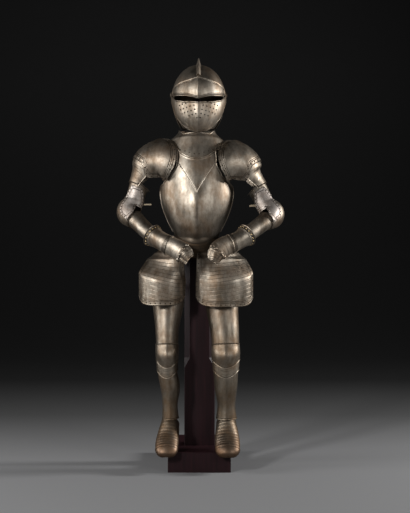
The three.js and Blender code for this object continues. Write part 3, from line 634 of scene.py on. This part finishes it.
def domes(name, spots, radius, high, material=DARK_STEEL):
    """Round rivet heads in one piece: spots are (point, outward normal)."""
    points = []
    faces = []
    ring = 10
    tilt = 32
    sunk = 0.4
    for where, normal in spots:
        side = normal.orthogonal().normalized()
        other = normal.cross(side)
        base = len(points)
        for level in range(3):
            reach = radius * cos(level * tilt)
            rise = high * sin(level * tilt) - sunk
            for k in range(ring):
                way = side * cos(360 * k / ring) + other * sin(360 * k / ring)
                points.append(where + way * reach + normal * rise)
        points.append(where + normal * (high - sunk))
        for level in range(2):
            for k in range(ring):
                a = base + level * ring + k
                b = base + level * ring + (k + 1) % ring
                faces.append((a, b, b + ring, a + ring))
        top = base + 3 * ring
        for k in range(ring):
            faces.append((base + 2 * ring + k, base + 2 * ring + (k + 1) % ring, top))
        faces.append(tuple(base + k for k in reversed(range(ring))))
    piece(name, points, faces, material, attributes=plain(points))


def border_spots(place, inset, pace, sides):
    """Rivets set at this inset in millimetres from chosen sides of a plate: low, high, start, end."""
    spots = []
    steps = 60
    for which in sides:
        lengthwise = which in ("start", "end")
        fixed = 0.0 if which in ("start", "high") else 1.0
        step = 0.02 if fixed == 0 else -0.02

        def at(along, off, lengthwise=lengthwise):
            return (along, off) if lengthwise else (off, along)

        line = [place(*at(k / steps, fixed), 0) for k in range(steps + 1)]
        gaps = [(line[k + 1] - line[k]).length for k in range(steps)]
        total = sum(gaps)
        count = max(1, round((total - 2 * inset) / pace))
        for n in range(count + 1):
            want = mix(inset, total - inset, n / count)
            run = 0.0
            k = 0
            while k < steps - 1 and run + gaps[k] < want:
                run += gaps[k]
                k += 1
            t = (k + (want - run) / max(1e-6, gaps[k])) / steps
            per = (place(*at(t, fixed + step), 0) - place(*at(t, fixed), 0)).length
            v, u = at(t, fixed + step * inset / max(per, 1e-6))
            v, u = clamp(v), clamp(u)
            spots.append((place(v, u, 0), normal_at(place, v, u)))
    return spots


def cord(name, path, radius, material=STEEL):
    """Round bead or rolled rim laid along a line of points."""
    points, faces = [], []
    sides = 8
    count = len(path)
    up = None
    for k, where in enumerate(path):
        way = (path[min(count - 1, k + 1)] - path[max(0, k - 1)]).normalized()
        if up is None:
            up = way.orthogonal().normalized()
        up = (up - way * up.dot(way)).normalized()
        side = way.cross(up)
        for n in range(sides):
            turn = up * cos(360 * n / sides) + side * sin(360 * n / sides)
            points.append(where + turn * radius)
    for k in range(count - 1):
        for n in range(sides):
            a = k * sides + n
            b = k * sides + (n + 1) % sides
            faces.append((a, a + sides, b + sides, b))
    faces.append(tuple(range(sides)))
    faces.append(tuple(reversed(range((count - 1) * sides, count * sides))))
    piece(name, points, faces, material, attributes=plain(points))


def folded(deg):
    return abs((deg + 180) % 360 - 180)


def strap(name, path, wide):
    """Flat strap end through these points, standing on its edge."""
    points, faces = [], []
    thick = 2.4
    for where in path:
        for dz in (-wide / 2, wide / 2):
            for dy in (-thick / 2, thick / 2):
                points.append(Vector(where) + Vector((0, dy, dz)))
    last = 4 * (len(path) - 1)
    for a in range(0, last, 4):
        b = a + 4
        for one, two in ((0, 1), (1, 3), (3, 2), (2, 0)):
            faces.append((a + one, a + two, b + two, b + one))
    faces.append((0, 2, 3, 1))
    faces.append((last, last + 1, last + 3, last + 2))
    piece(name, points, faces, PALE_LEATHER)


def torso_z(table):
    return lambda deg: TORSO.seek(read(table, folded(deg)))


# Gorget
collar_top = torso_z([(0, 1427), (40, 1422), (55, 1429), (68, 1436), (90, 1441), (180, 1443)])
gorget_low = torso_z([(0, 1292), (30, 1316), (60, 1368), (90, 1384), (120, 1372), (180, 1330)])
FRONT_HALF = (-89.9, 89.9)
BACK_HALF = (90.1, 269.9)
for name, (start, end) in (("gorget_front", FRONT_HALF), ("gorget_back", BACK_HALF)):
    neck = window(TORSO, start, end, collar_top, gorget_low, -LEVEL)
    plate(name + "_plate", 34, 56, False, neck, SHEET, EDGED, (name,))
rivet_line = torso_z([(0, 1318), (30, 1338), (60, 1372), (90, 1390)])
front_neck = window(TORSO, -60, 60, collar_top, rivet_line, -LEVEL)
low_edge = window(TORSO, -86, 86, collar_top, gorget_low, -LEVEL)
cord("gorget_roll", [low_edge(1, k / 60, 0) for k in range(61)], 2.6)
domes("gorget_rivets", border_spots(front_neck, 7, 21, ("low",)), 2.9, 2.0)

# Breastplate and backplate
ARMHOLE = [(1160, 90), (1192, 62), (1225, 43), (1268, 33), (1400, 33)]
SIDE_GAP = 0.12
PROUD = 2.4
SKIN = HEAVY - 0.4


def keel(deg, s):
    return 7 * bump(deg, 9) * smooth((s - 7.3) / 1.4) * smooth((12.6 - s) / 1.5)


def chest_line(deg):
    """Height of the raised V: from both upper corners down to the middle of the chest."""
    return 1163 + 5 * abs(deg) - 0.027 * deg * deg


def chevron(deg, z):
    """Plate above the V stands a little proud of the belly."""
    return PROUD * smooth((z - chest_line(deg)) / 6.0)


def breast(v, u, depth):
    half = read(ARMHOLE, mix(1326, 980, v)) - SIDE_GAP
    deg = (u * 2 - 1) * half
    top = 1308 + 38 * min(1, abs(deg) / 33) ** 2
    z = mix(top, 948 + 55 * sin(deg) ** 2, v)
    s = TORSO.seek(z)
    neck = 2.6 * bump(z - top, 5)
    return TORSO.point(s, deg, keel(deg, s) + chevron(deg, z) - PROUD + neck - depth + 0.6)


plate("breast", 120, 96, False, breast, SKIN, CHEST, ("breastplate",), rim=0.8)
cord("breast_neck_roll", [breast(0, k / 40, 0.6) for k in range(41)], 3.6)
for side, name in ((0, "right_armhole_roll"), (1, "left_armhole_roll")):
    cord(name, [breast(k / 60 * 0.62, side, 0.4) for k in range(61)], 3.4)
# The raised V lines carry a painted highlight
for side, name in ((-1, "right_chest_line"), (1, "left_chest_line")):
    line = []
    for k in range(41):
        deg = side * mix(0.0, 31, k / 40)
        s = TORSO.seek(chest_line(deg))
        line.append(TORSO.point(s, deg, keel(deg, s) - 1.2))
    cord(name, line, 2.5, PAINTED_HIGHLIGHT)


def blades(v, u, depth):
    level = mix(1350, 980, v)
    half = min(90, read(ARMHOLE, level) + 9 * smooth((level - 1170) / 60)) - SIDE_GAP
    deg = 180 + (u * 2 - 1) * half
    top = 1352 + 22 * bump(abs(deg - 180) - 28, 14)
    s = TORSO.seek(mix(top, 966 + 37 * sin(deg) ** 2, v))
    return TORSO.point(s, deg, 0.8 - depth)


plate("back", 48, 44, False, blades, SKIN, EDGED, ("backplate",))

# Armhole gussets, dark in the shade of the shoulders
for side, name in ((-1, "right_gusset"), (1, "left_gusset")):

    def gusset(v, u, depth, side=side):
        deg = side * mix(28, mix(38, 58, v), u)
        return TORSO.point(TORSO.seek(mix(1276, 1188, v)), deg, -LEVEL - depth)

    plate(name, 14, 10, False, gusset, SHEET, EDGED, rim=0.5)

# Fauld
fauld_top = torso_z([(0, 978), (90, 1030), (180, 990)])
fauld_low = torso_z([(0, 889), (180, 889)])
for name, (start, end) in (("fauld_front", FRONT_HALF), ("fauld_back", BACK_HALF)):
    skirt = window(TORSO, start, end, fauld_top, fauld_low, -HEAVY - 1.3)
    plate(name + "_plate", 36, 48, False, skirt, HEAVY, HOOPED, (name,))


def helmet_window(start, end, first, last, lift):
    def place(v, u, depth):
        deg = mix(start, end, u)
        drop = mix(first(deg), last(deg), v)
        return egg(drop, deg, given(lift, v, deg) - depth)

    return place


def by_deg(table):
    return lambda deg: drop_at(read(table, folded(deg)))


# Helmet: skull, brow plate, bevor, comb, visor and pins
skull_low = by_deg([(0, 1562), (30, 1575), (62, 1581), (78, 1562), (100, 1452), (180, 1446)])
bowl = helmet_window(0, 360, lambda deg: 0.4, skull_low, 0.0)
plate("skull", 64, 96, True, bowl, 2.0, EDGED, ("helmet_skull",), rim=0.6)


def brow_lift(v, deg):
    return 2.5 + 3.5 * math.exp(-abs(deg) / 6)


brow_top = by_deg([(0, 1652), (35, 1638), (75, 1616)])
brow_low = by_deg([(0, 1561), (30, 1577), (75, 1586)])
brow = helmet_window(-75, 75, brow_top, brow_low, brow_lift)
plate("brow", 48, 72, False, brow, SHEET, BROWED, ("helmet_brow",), rim=1.4)

VISOR_TOP = [(0, 1547), (30, 1551), (52, 1560), (70, 1579), (82, 1606), (98, 1608)]
VISOR_LOW = [(0, 1430), (25, 1434), (45, 1448), (62, 1478), (80, 1552), (98, 1578)]
bevor_top = by_deg([(0, 1528), (60, 1536), (90, 1598), (105, 1604)])
bevor_low = by_deg([(0, 1417), (40, 1426), (70, 1441), (105, 1450)])
bevor = helmet_window(-105, 105, bevor_top, bevor_low, -8)
chin = plate("bevor", 36, 64, False, bevor, SHEET, EDGED, ("helmet_bevor",), rim=0.6)
# Bevor faces behind the visor get painted shade, so the breathing holes read dark
chin.data.materials.append(UNLIT)
for face in chin.data.polygons:
    middle = face.center * 1000
    turn = math.degrees(math.atan2(middle.x - HELMET_X, HELMET_Y - middle.y))
    if abs(turn) < 85 and middle.z > read(VISOR_LOW, abs(turn)) + 6:
        face.material_index = 1


def crest():
    """Comb: a curved fin whose sides hollow down to the skull."""
    steps, across = 60, 10
    points = []
    for i in range(steps + 1):
        turn = mix(-56, 84, i / steps)
        deg = 0 if turn < 0 else 180
        high = 6 + 24 * cos(turn) ** 3
        foot = egg(abs(turn), deg, 0.3)
        tip = egg(abs(turn), deg, high)
        for k in range(across + 1):
            t = abs(k / across * 2 - 1)
            half = 10.0 * t**1.5 + 3.4 * min(1, t * 5) * (1 - t)
            spot = tip.lerp(foot, t)
            points.append(spot + Vector(((1 if k * 2 > across else -1) * half, 0, 0)))
    faces = []
    row = across + 1
    for i in range(steps):
        for k in range(across):
            a = i * row + k
            faces.append((a, a + 1, a + row + 1, a + row))
        faces.append((i * row, (i + 1) * row, (i + 1) * row + across, i * row + across))
    faces.append(tuple(range(across + 1)))
    faces.append(tuple(reversed(range(steps * row, steps * row + row))))
    comb = piece("comb", points, faces, STEEL, "armour", ("helmet_comb",), plain(points))
    face_out(comb.data, HELMET_MIDDLE)


crest()


def visor_lift(v, deg):
    ridge = 0.45 * bump(deg, 16) + 0.55 * math.exp(-abs(deg) / 14)
    return 4.6 + 9 * ridge + 6 * bump(deg, 45) * math.sin(math.pi * clamp(v))


visor_place = helmet_window(-98, 98, by_deg(VISOR_TOP), by_deg(VISOR_LOW), visor_lift)
visor = plate(
    "visor_face", 40, 120, False, visor_place, SHEET, EDGED, ("helmet_visor",), "visor", rim=0.5
)


def rod(points, faces, start, end, radius, sides):
    way = (end - start).normalized()
    side = way.orthogonal().normalized()
    other = way.cross(side)
    base = len(points)
    for where in (start, end):
        for k in range(sides):
            turn = side * cos(360 * k / sides) + other * sin(360 * k / sides)
            points.append(where + turn * radius)
    for k in range(sides):
        n = (k + 1) % sides
        faces.append((base + k, base + n, base + sides + n, base + sides + k))
    faces.append(tuple(base + k for k in reversed(range(sides))))
    faces.append(tuple(base + sides + k for k in range(sides)))


def breaths():
    """Cuts the breathing holes and the pin holes through the visor."""
    points, faces = [], []
    rows = ((11, 5), (19, 4), (27, 4), (35, 3), (43, 3))
    for r, (deg, count) in enumerate(rows):
        for k in range(count):
            for side in (-1, 1):
                at = egg(99.5 + 5.6 * k + 1.1 * r, side * (deg - 1.8 * k), 12)
                inward = (Vector((HELMET_X, HELMET_Y + 30, at.z)) - at).normalized()
                rod(points, faces, at - inward * 16, at + inward * 30, HOLE, 14)
    pivot = Vector((HELMET_X, HELMET_Y, PIVOT_Z))
    across = Vector((155, 0, 0))
    rod(points, faces, pivot - across, pivot + across, PIN_HOLE, 20)
    mesh = bpy.data.meshes.new("cutters")
    mesh.from_pydata([p * 0.001 for p in points], [], faces)
    cutter = bpy.data.objects.new("cutters", mesh)
    bpy.context.scene.collection.objects.link(cutter)
    cut = visor.modifiers.new("breaths", "BOOLEAN")
    cut.operation = "DIFFERENCE"
    cut.solver = "EXACT"
    cut.object = cutter
    bpy.context.view_layer.update()
    graph = bpy.context.evaluated_depsgraph_get()
    cut_mesh = bpy.data.meshes.new_from_object(visor.evaluated_get(graph))
    visor.modifiers.clear()
    visor.data = cut_mesh
    visor.data.set_sharp_from_angle(angle=math.radians(CREASE))
    bpy.data.objects.remove(cutter)


def dress(name, material):
    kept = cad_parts[name].data.materials
    kept.clear()
    kept.append(material)


breaths()
for name in ("helmet_pin_right", "helmet_pin_left"):
    dress(name, STEEL)
domes("brow_rivets", border_spots(brow, 6, 46, ("start", "end")), RIVET, 2.2)

# Shoulders, arms and gauntlets
EDGE = (
    (-36, 1.95, 2.95),
    (-31, 1.65, 3.4),
    (-20, 1.4, 3.75),
    (-6, 1.1, 4.05),
    (6, 0.95, 4.0),
    (18, 0.9, 3.6),
    (30, 0.95, 3.42),
    (50, 1.35, 3.42),
    (72, 2.0, 3.42),
    (90, 2.4, 3.42),
    (120, 2.2, 3.42),
    (150, 1.8, 3.4),
    (180, 1.7, 3.3),
    (198, 1.95, 2.9),
)
EDGE_START = [(deg, start) for deg, start, end in EDGE]
EDGE_END = [(deg, end) for deg, start, end in EDGE]


def edge_start(deg):
    return read(EDGE_START, deg)


def edge_end(deg):
    return read(EDGE_END, deg)


def ridges(v, count, high):
    """Saw-tooth steps of overlapping lames."""
    return high * (1 - (v * count) % 1.0)


def arm(name, form):
    def cap_lift(v, deg):
        return 1.2 * smooth((mix(edge_start(deg), edge_end(deg), v) - 3.3) / 0.5)

    main = window(form, -2 * TURN, 11 * TURN, edge_start, edge_end, cap_lift)
    plate(name + "_shoulder", 96, 132, False, main, SHEET, BORDER, (name + "_pauldron",), rim=2.2)
    front = window(form, -2 * TURN, 3.4 * TURN, edge_start, edge_end, cap_lift)
    domes(name + "_shoulder_rivets", border_spots(front, 9, 24, ("low", "high", "start")), 3.7, 2.6)
    upper = window(
        form,
        2 * TURN,
        8 * TURN,
        lambda deg: edge_start(deg) - 0.28 - 0.24 * bump(deg - 100, 26),
        lambda deg: edge_start(deg) + 0.2,
        lambda v, deg: -LEVEL - 1.2 + 0.8 * ((v * 3) % 1.0),
    )
    nodes = (name + "_pauldron_upper_lames",)
    plate(name + "_neck_lames", 24, 48, False, upper, SHEET, EDGED, nodes, rim=0.6)

    def lames_lift(v, deg):
        return -LEVEL - 2.15 * (1 - v) ** 3 + ridges(1 - v, 4, 0.9)

    lower = window(form, 0, 10 * TURN, 3.2, 5.15, lames_lift)
    nodes = (name + "_pauldron_lower_lames",)
    plate(name + "_arm_lames", 48, 80, False, lower, SHEET, EDGED, nodes, rim=1.6)
    domes(name + "_arm_lame_rivets", border_spots(lower, 8, 40, ("low",)), RIVET, 2.3)

    def sleeve_lift(v, deg):
        return -2 * LEVEL + 0.25 - 3.4 * (1 - v) ** 3

    upper_arm = window(form, 0, 360, 4.8, 7.1, sleeve_lift)
    plate(name + "_upper_arm", 24, 72, True, upper_arm, SHEET, EDGED, (name + "_rerebrace",), rim=0.6)

    def cop_lift(v, deg):
        arch = math.sin(math.pi * v)
        return 4 * arch + 15 * arch**2 * max(0, cos(deg - 118)) ** 2

    def ribs(v):
        ends = max(smooth((0.24 - v) / 0.02), smooth((v - 0.76) / 0.02))
        return 0.9 * ends * (0.5 + 0.5 * math.cos(v * FULL_TURN * FLUTES))

    def ribbed_lift(v, deg):
        return cop_lift(v, deg) - LEVEL + 0.6 + ribs(v)

    cop = window(form, -TURN, 13 * TURN, 6.75, 9.6, ribbed_lift)
    plate(name + "_elbow", 84, 96, False, cop, SHEET, EDGED, (name + "_couter",), rim=0.8)

    def lobe(v):
        return math.sqrt(math.sin(math.pi * mix(0.06, 0.94, v)))

    def wing_lift(v, deg):
        return cop_lift(clamp((mix(5.3, 9.5, v) - 6.75) / 2.85), deg) + 1.8 + 4 * bump(deg + 50, 30)

    wing = window(
        form,
        lambda v: 6 - 62 * lobe(v) + 9 * bump(v - 0.5, 0.1),
        lambda v: 14 + 40 * lobe(v),
        5.3,
        9.5,
        wing_lift,
    )
    nodes = (name + "_couter_wing",)
    plate(name + "_elbow_wing", 72, 56, False, wing, SHEET, WINGED, nodes, rim=1.4)
    domes(name + "_wing_rivets", border_spots(wing, 5.5, 15, ("start", "end")), RIVET, 2.2)
    forearm = window(form, 0, 360, 9.3, 13.8, -2 * LEVEL + 0.2)
    plate(name + "_forearm", 40, 72, True, forearm, SHEET, EDGED, (name + "_vambrace",), rim=0.0)

    def cuff_lift(v, deg):
        return 12 * (1 - v) ** 3 - LEVEL + 1.1 * bump(v - 0.16, 0.03)

    cuff = window(form, 0, 360, 12.2, 14.5, cuff_lift)
    plate(name + "_cuff", 60, 80, True, cuff, SHEET, CUFFED, (name + "_gauntlet_cuff",), rim=1.8)
    domes(name + "_cuff_rivets", border_spots(cuff, 9, 17, ("high",)), 3.4, 2.6, BRASSY)

    def hand_lift(v, deg):
        return -2 * LEVEL + 2 * v * v + ridges(1 - v, 4, 0.7)

    hand = window(form, -7 * TURN, 7 * TURN, 14.3, 16.75, hand_lift)
    plate(name + "_hand_back", 48, 72, False, hand, SHEET, EDGED, (name + "_gauntlet_hand",), rim=0.6)

    def finger_lift(v, deg):
        knuckle = 3.2 * abs(cos(deg * 2.2))
        return -2 * LEVEL - 4.3 + knuckle * 1.2 + ridges(1 - v, 5, 0.8)

    fingers = window(form, -6 * TURN, 6 * TURN, 16.55, 18.3, finger_lift)
    nodes = (name + "_gauntlet_fingers",)
    plate(name + "_finger_lames", 40, 96, False, fingers, SHEET, EDGED, nodes, rim=0.4)
    # Knuckle bosses at the end of the hand
    spots = []
    for deg in (-62, -22, 18, 58):
        u = (deg + 7 * TURN) / (14 * TURN)
        spots.append((hand(0.97, u, 0), normal_at(hand, 0.97, u)))
    domes(name + "_knuckles", spots, 7.5, 4.2, STEEL)


arm("right", RIGHT_ARM)
arm("left", LEFT_ARM)
right_strap = [(-250, -52, 1117), (-232, -62, 1118), (-218, -66, 1118), (-206, -66, 1117)]
left_strap = [(256, -52, 1113), (240, -62, 1112), (226, -66, 1113), (214, -66, 1111)]
strap("right_strap_end", right_strap, 6)
strap("left_strap_end", left_strap, 8)


# Legs and feet
def leg(name, form, foot, greave_drop):
    thigh = window(
        form,
        lambda v: -88 - 20 * smooth(v * 2 - 0.6),
        lambda v: 88 + 20 * smooth(v * 2 - 0.6),
        0.4,
        4.3,
        -LEVEL,
    )
    plate(name + "_thigh", 60, 60, False, thigh, SHEET, EDGED, (name + "_cuisse",), rim=0.3)

    def cap(v, deg):
        ridge = 2.2 * bump(deg, 10) * math.sin(math.pi * clamp(v * 1.3))
        return 10 * math.sin(math.pi * v) ** 2 * bump(deg, 55) + ridge

    knee = window(form, -7 * TURN, 7 * TURN, 4.0, lambda deg: 5.1 + 0.55 * cos(deg) ** 2, cap)
    plate(name + "_knee", 56, 88, False, knee, SHEET, EDGED, (name + "_poleyn",), rim=1.2)
    lames = window(
        form,
        -7 * TURN,
        7 * TURN,
        lambda deg: 4.9 + 0.45 * cos(deg) ** 2,
        lambda deg: 5.8 + 0.5 * cos(deg) ** 2,
        lambda v, deg: -LEVEL + ridges(1 - v, 4, 1.0),
    )
    plate(name + "_knee_lames", 48, 72, False, lames, SHEET, EDGED, (name + "_poleyn_lames",), rim=0.8)

    def shin_lift(v, deg):
        return -2 * LEVEL - greave_drop + 1.5 * bump(deg - 360 * (deg > 180), 12)

    shin = window(form, 0, 360, 5.6, 8.9, shin_lift)
    plate(name + "_shin", 44, 80, True, shin, SHEET, EDGED, (name + "_greave",), rim=1.0)
    top = window(
        foot,
        -6 * TURN,
        6 * TURN,
        lambda deg: 0.9 + 0.5 * cos(deg),
        5.05,
        lambda v, deg: -LEVEL + ridges(1 - v, 11, 0.9) * smooth((v - 0.12) / 0.05),
    )
    plate(name + "_foot", 88, 60, False, top, SHEET, STEEL, (name + "_sabaton",), rim=0.8)
    toes = window(foot, -7 * TURN, 7 * TURN, 4.85, 8, 0.0)
    plate(name + "_toe", 36, 72, False, toes, SHEET, EDGED, (name + "_toe_cap",), rim=0.4)


leg("right", RIGHT_LEG, RIGHT_FOOT, 1.1)
leg("left", LEFT_LEG, LEFT_FOOT, 0.3)


def tasset(name, size):
    hip_inner, hip_outer, inner, outer, x, y, half, deep, low, rise = size

    def place(v, u, depth):
        start = mix(912, 884, clamp(v * 5))
        hip_deg = mix(hip_inner, hip_outer, u)
        hip = TORSO.point(TORSO.seek(start), hip_deg, SHEET - 0.25 - depth)
        deg = mix(inner, outer, u)
        side = x + (half - depth) * sin(deg)
        front = y - (deep - depth) * cos(deg)
        z = mix(start, low + rise * (2 * u - 1) ** 4, clamp(v * 1.25 - 0.25))
        blend = smooth((v - mix(0.15, 0.05, u)) / mix(0.55, 0.48, u))
        return Vector((mix(hip.x, side, blend), mix(hip.y, front, blend), z))

    plate(name + "_plate", 110, 84, False, place, SHEET, LAMED, (name,), rim=1.4)
    domes(name + "_rivets", border_spots(place, 8.5, 21, ("low", "start", "end")), RIVET, 2.3)


tasset("right_tasset", (-15, -84, 70, -80, -156, -100, 101, 82, 690, 40))
tasset("left_tasset", (0, 84, -72, 80, 104, -100, 124, 84, 684, 40))

for name in ("stand_base", "stand_post", "stand_yoke", "stand_hip_bar"):
    dress(name, WOOD)
for name in ("stand_base", "stand_post"):
    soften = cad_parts[name].modifiers.new("worn_edges", "BEVEL")
    soften.width = 0.0015
    soften.segments = 2


# Backdrop in metres: a pale floor that runs into a dark room
def backdrop():
    front, back, curve, top, half = -6.0, 4.0, 3.0, 9.0, 9.0
    profile = [(front, 0.0), (back, 0.0)]
    for k in range(1, 13):
        turn = 90 * k / 12
        profile.append((back + curve * sin(turn), curve - curve * cos(turn)))
    profile.append((back + curve, top))
    points, faces = [], []
    for y, z in profile:
        points += [(-half, y, z), (half, y, z)]
    for k in range(len(profile) - 1):
        faces.append((2 * k, 2 * k + 1, 2 * k + 3, 2 * k + 2))
    mesh = bpy.data.meshes.new("backdrop")
    mesh.from_pydata(points, [], faces)
    mesh.polygons.foreach_set("use_smooth", [True] * len(mesh.polygons))
    made = bpy.data.objects.new("backdrop", mesh)
    material, tree, shader = principled("paper", 0.8, 0.0)
    # Painted fall-off of light: the paper's colour darkens to black behind the suit
    far = math_node(tree, "DIVIDE", parts_node(tree).outputs["Y"], 3.0)
    near = (0.16, 0.16, 0.162)
    middle = (0.055, 0.055, 0.055)
    colour = ramp_node(tree, far, [(0.0, near), (0.45, middle), (1.0, (0.004, 0.004, 0.004))])
    tree.links.new(colour, shader.inputs["Base Color"])
    mesh.materials.append(material)
    bpy.context.scene.collection.objects.link(made)


backdrop()


# Lamps, named as seen from the camera
def soft_light(name, place, aim, size, power):
    data = bpy.data.lights.new(name, "AREA")
    data.shape = "RECTANGLE"
    data.size, data.size_y = size
    data.energy = power
    lamp = bpy.data.objects.new(name, data)
    lamp.location = place
    lamp.rotation_euler = (Vector(aim) - Vector(place)).to_track_quat("-Z", "Y").to_euler()
    bpy.context.scene.collection.objects.link(lamp)


soft_light("right_side", (3.6, 0.2, 2.1), (0.0, 0.0, 1.0), (0.5, 1.0), 165)
soft_light("front_left", (-2.3, -3.3, 2.2), (0.0, 0.0, 1.1), (0.4, 0.7), 112)
soft_light("left_side", (-3.0, -0.6, 1.7), (0.0, 0.0, 1.1), (0.8, 1.8), 60)
soft_light("front_right", (2.4, -3.2, 1.9), (0.0, 0.0, 1.1), (0.8, 1.2), 30)
soft_light("front_wide", (0.0, -5.6, 1.5), (0.0, 0.0, 0.9), (4.5, 3.4), 12)
world = bpy.data.worlds.new("room")
world.use_nodes = True
sky = world.node_tree.nodes["Background"]
sky.inputs["Color"].default_value = (0.004, 0.004, 0.004, 1)
sky.inputs["Strength"].default_value = 1.0
bpy.context.scene.world = world
bpy.context.scene.view_settings.view_transform = "Standard"
